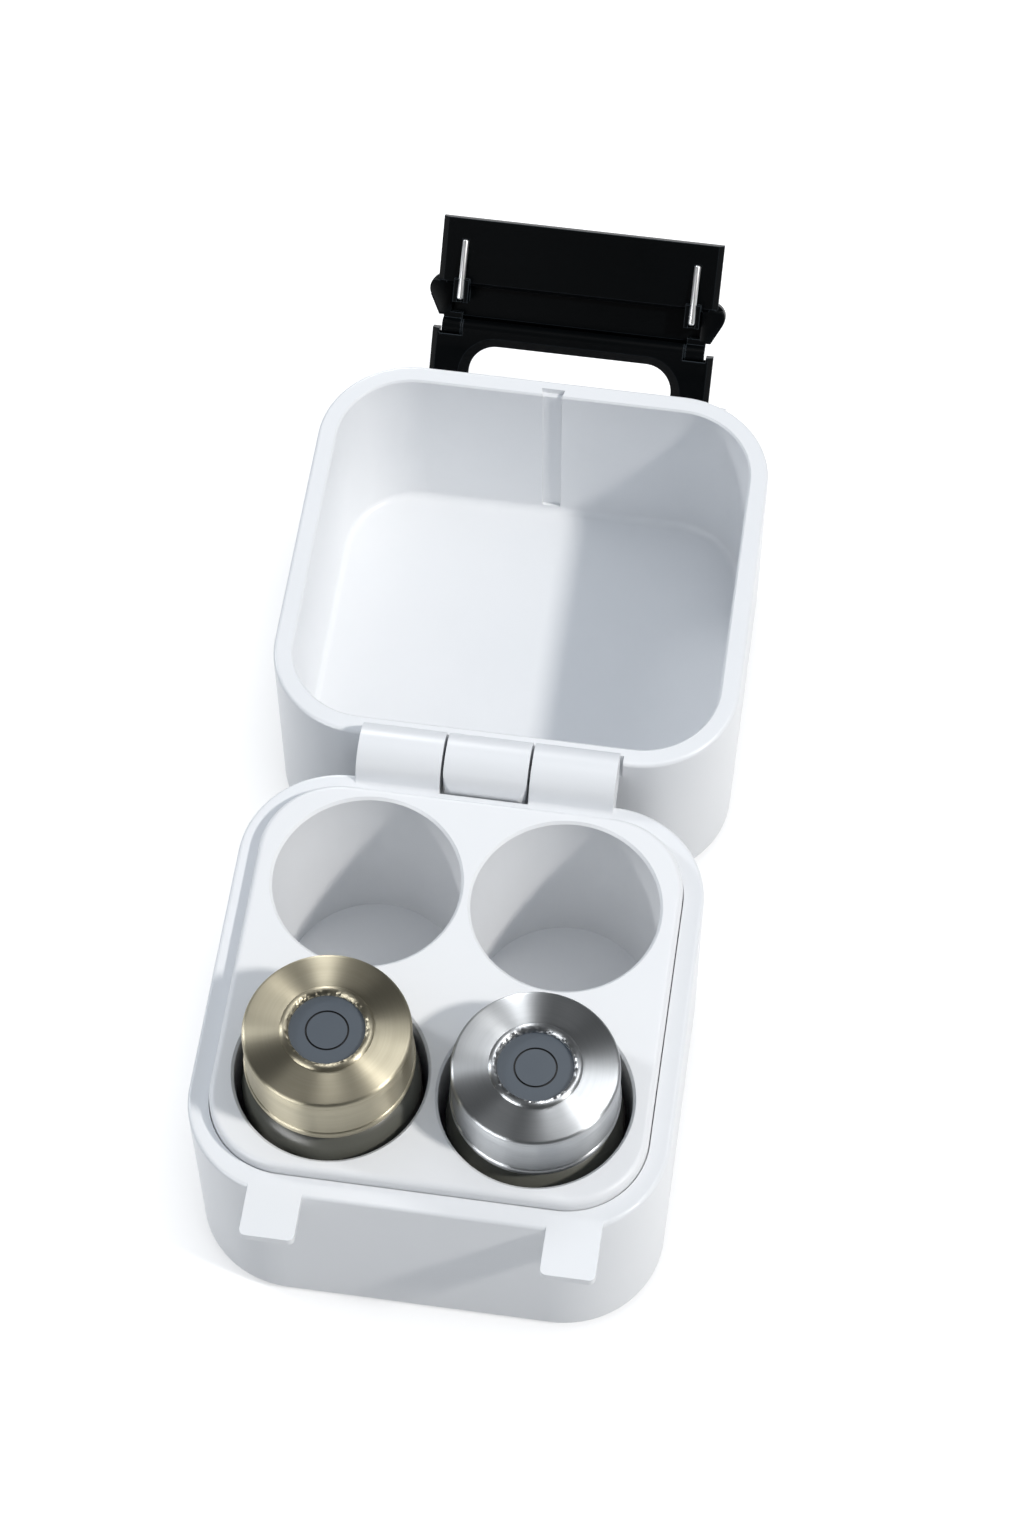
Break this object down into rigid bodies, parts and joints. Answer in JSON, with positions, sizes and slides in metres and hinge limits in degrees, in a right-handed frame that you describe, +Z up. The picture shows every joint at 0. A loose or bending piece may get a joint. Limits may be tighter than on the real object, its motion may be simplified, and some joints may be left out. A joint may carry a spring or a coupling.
{
  "type": "vial case",
  "caption": "Small rounded white hard case lying open, its base holding crimp-sealed vials in a raised tray of round wells, its lid hinged behind with a black draw latch.",
  "frame": {"origin": "centre of the base's flat underside, on the surface it stands on", "axes": "+X to the right as seen from the catch tabs, +Y from the catch tabs past the hinge to the open lid, +Z up; the lid lies open on its flat top"},
  "size_m": [0.0614, 0.1511, 0.0437],
  "materials": {
    "white_plastic": "fine satin, moulded white",
    "tray_plastic": "satin white with a very fine grain",
    "black_plastic": "smooth black, soft gloss",
    "steel": "bright drawn wire",
    "champagne_seal": "turned and brushed, pale gold",
    "silver_seal": "turned and brushed, bright silver",
    "vial_glass": "clear, seen dark in the wells",
    "stopper_rubber": "smooth blue-grey with a fine target ring"
  },
  "bodies": {
    "base": {"base_shell": "white_plastic", "vial_tray": "tray_plastic", "hinge_pin": "steel"},
    "lid": {"lid_shell": "white_plastic", "pivot_pins": "steel"},
    "latch_frame": {"latch_frame": "black_plastic"},
    "latch_lever": {"latch_lever": "black_plastic", "lever_pin": "steel", "catch_rods": "steel"},
    "left_vial": {"left_vial_glass": "vial_glass", "left_vial_stopper": "stopper_rubber", "left_vial_seal": "champagne_seal"},
    "right_vial": {"right_vial_glass": "vial_glass", "right_vial_stopper": "stopper_rubber", "right_vial_seal": "silver_seal"}
  },
  "joints": [
    {"name": "lid_hinge", "type": "hinge", "parent": "base", "child": "lid", "pos_m": [0, 0.03277, 0.03], "axis": [-1, 0, 0], "range_deg": [-180, 0]},
    {"name": "latch_pivot", "type": "hinge", "parent": "lid", "child": "latch_frame", "pos_m": [0.0013, 0.09816, 0.021], "axis": [-1, 0, 0], "range_deg": [-12, 75]},
    {"name": "lever_hinge", "type": "hinge", "parent": "latch_frame", "child": "latch_lever", "pos_m": [0.0013, 0.1043, 0.02758], "axis": [-1, 0, 0], "range_deg": [-54, 60]},
    {"name": "left_vial_lift", "type": "slide", "parent": "base", "child": "left_vial", "axis": [0, 0, 1], "range_m": [0, 0.045]},
    {"name": "right_vial_lift", "type": "slide", "parent": "base", "child": "right_vial", "axis": [0, 0, 1], "range_m": [0, 0.045]}
  ]
}
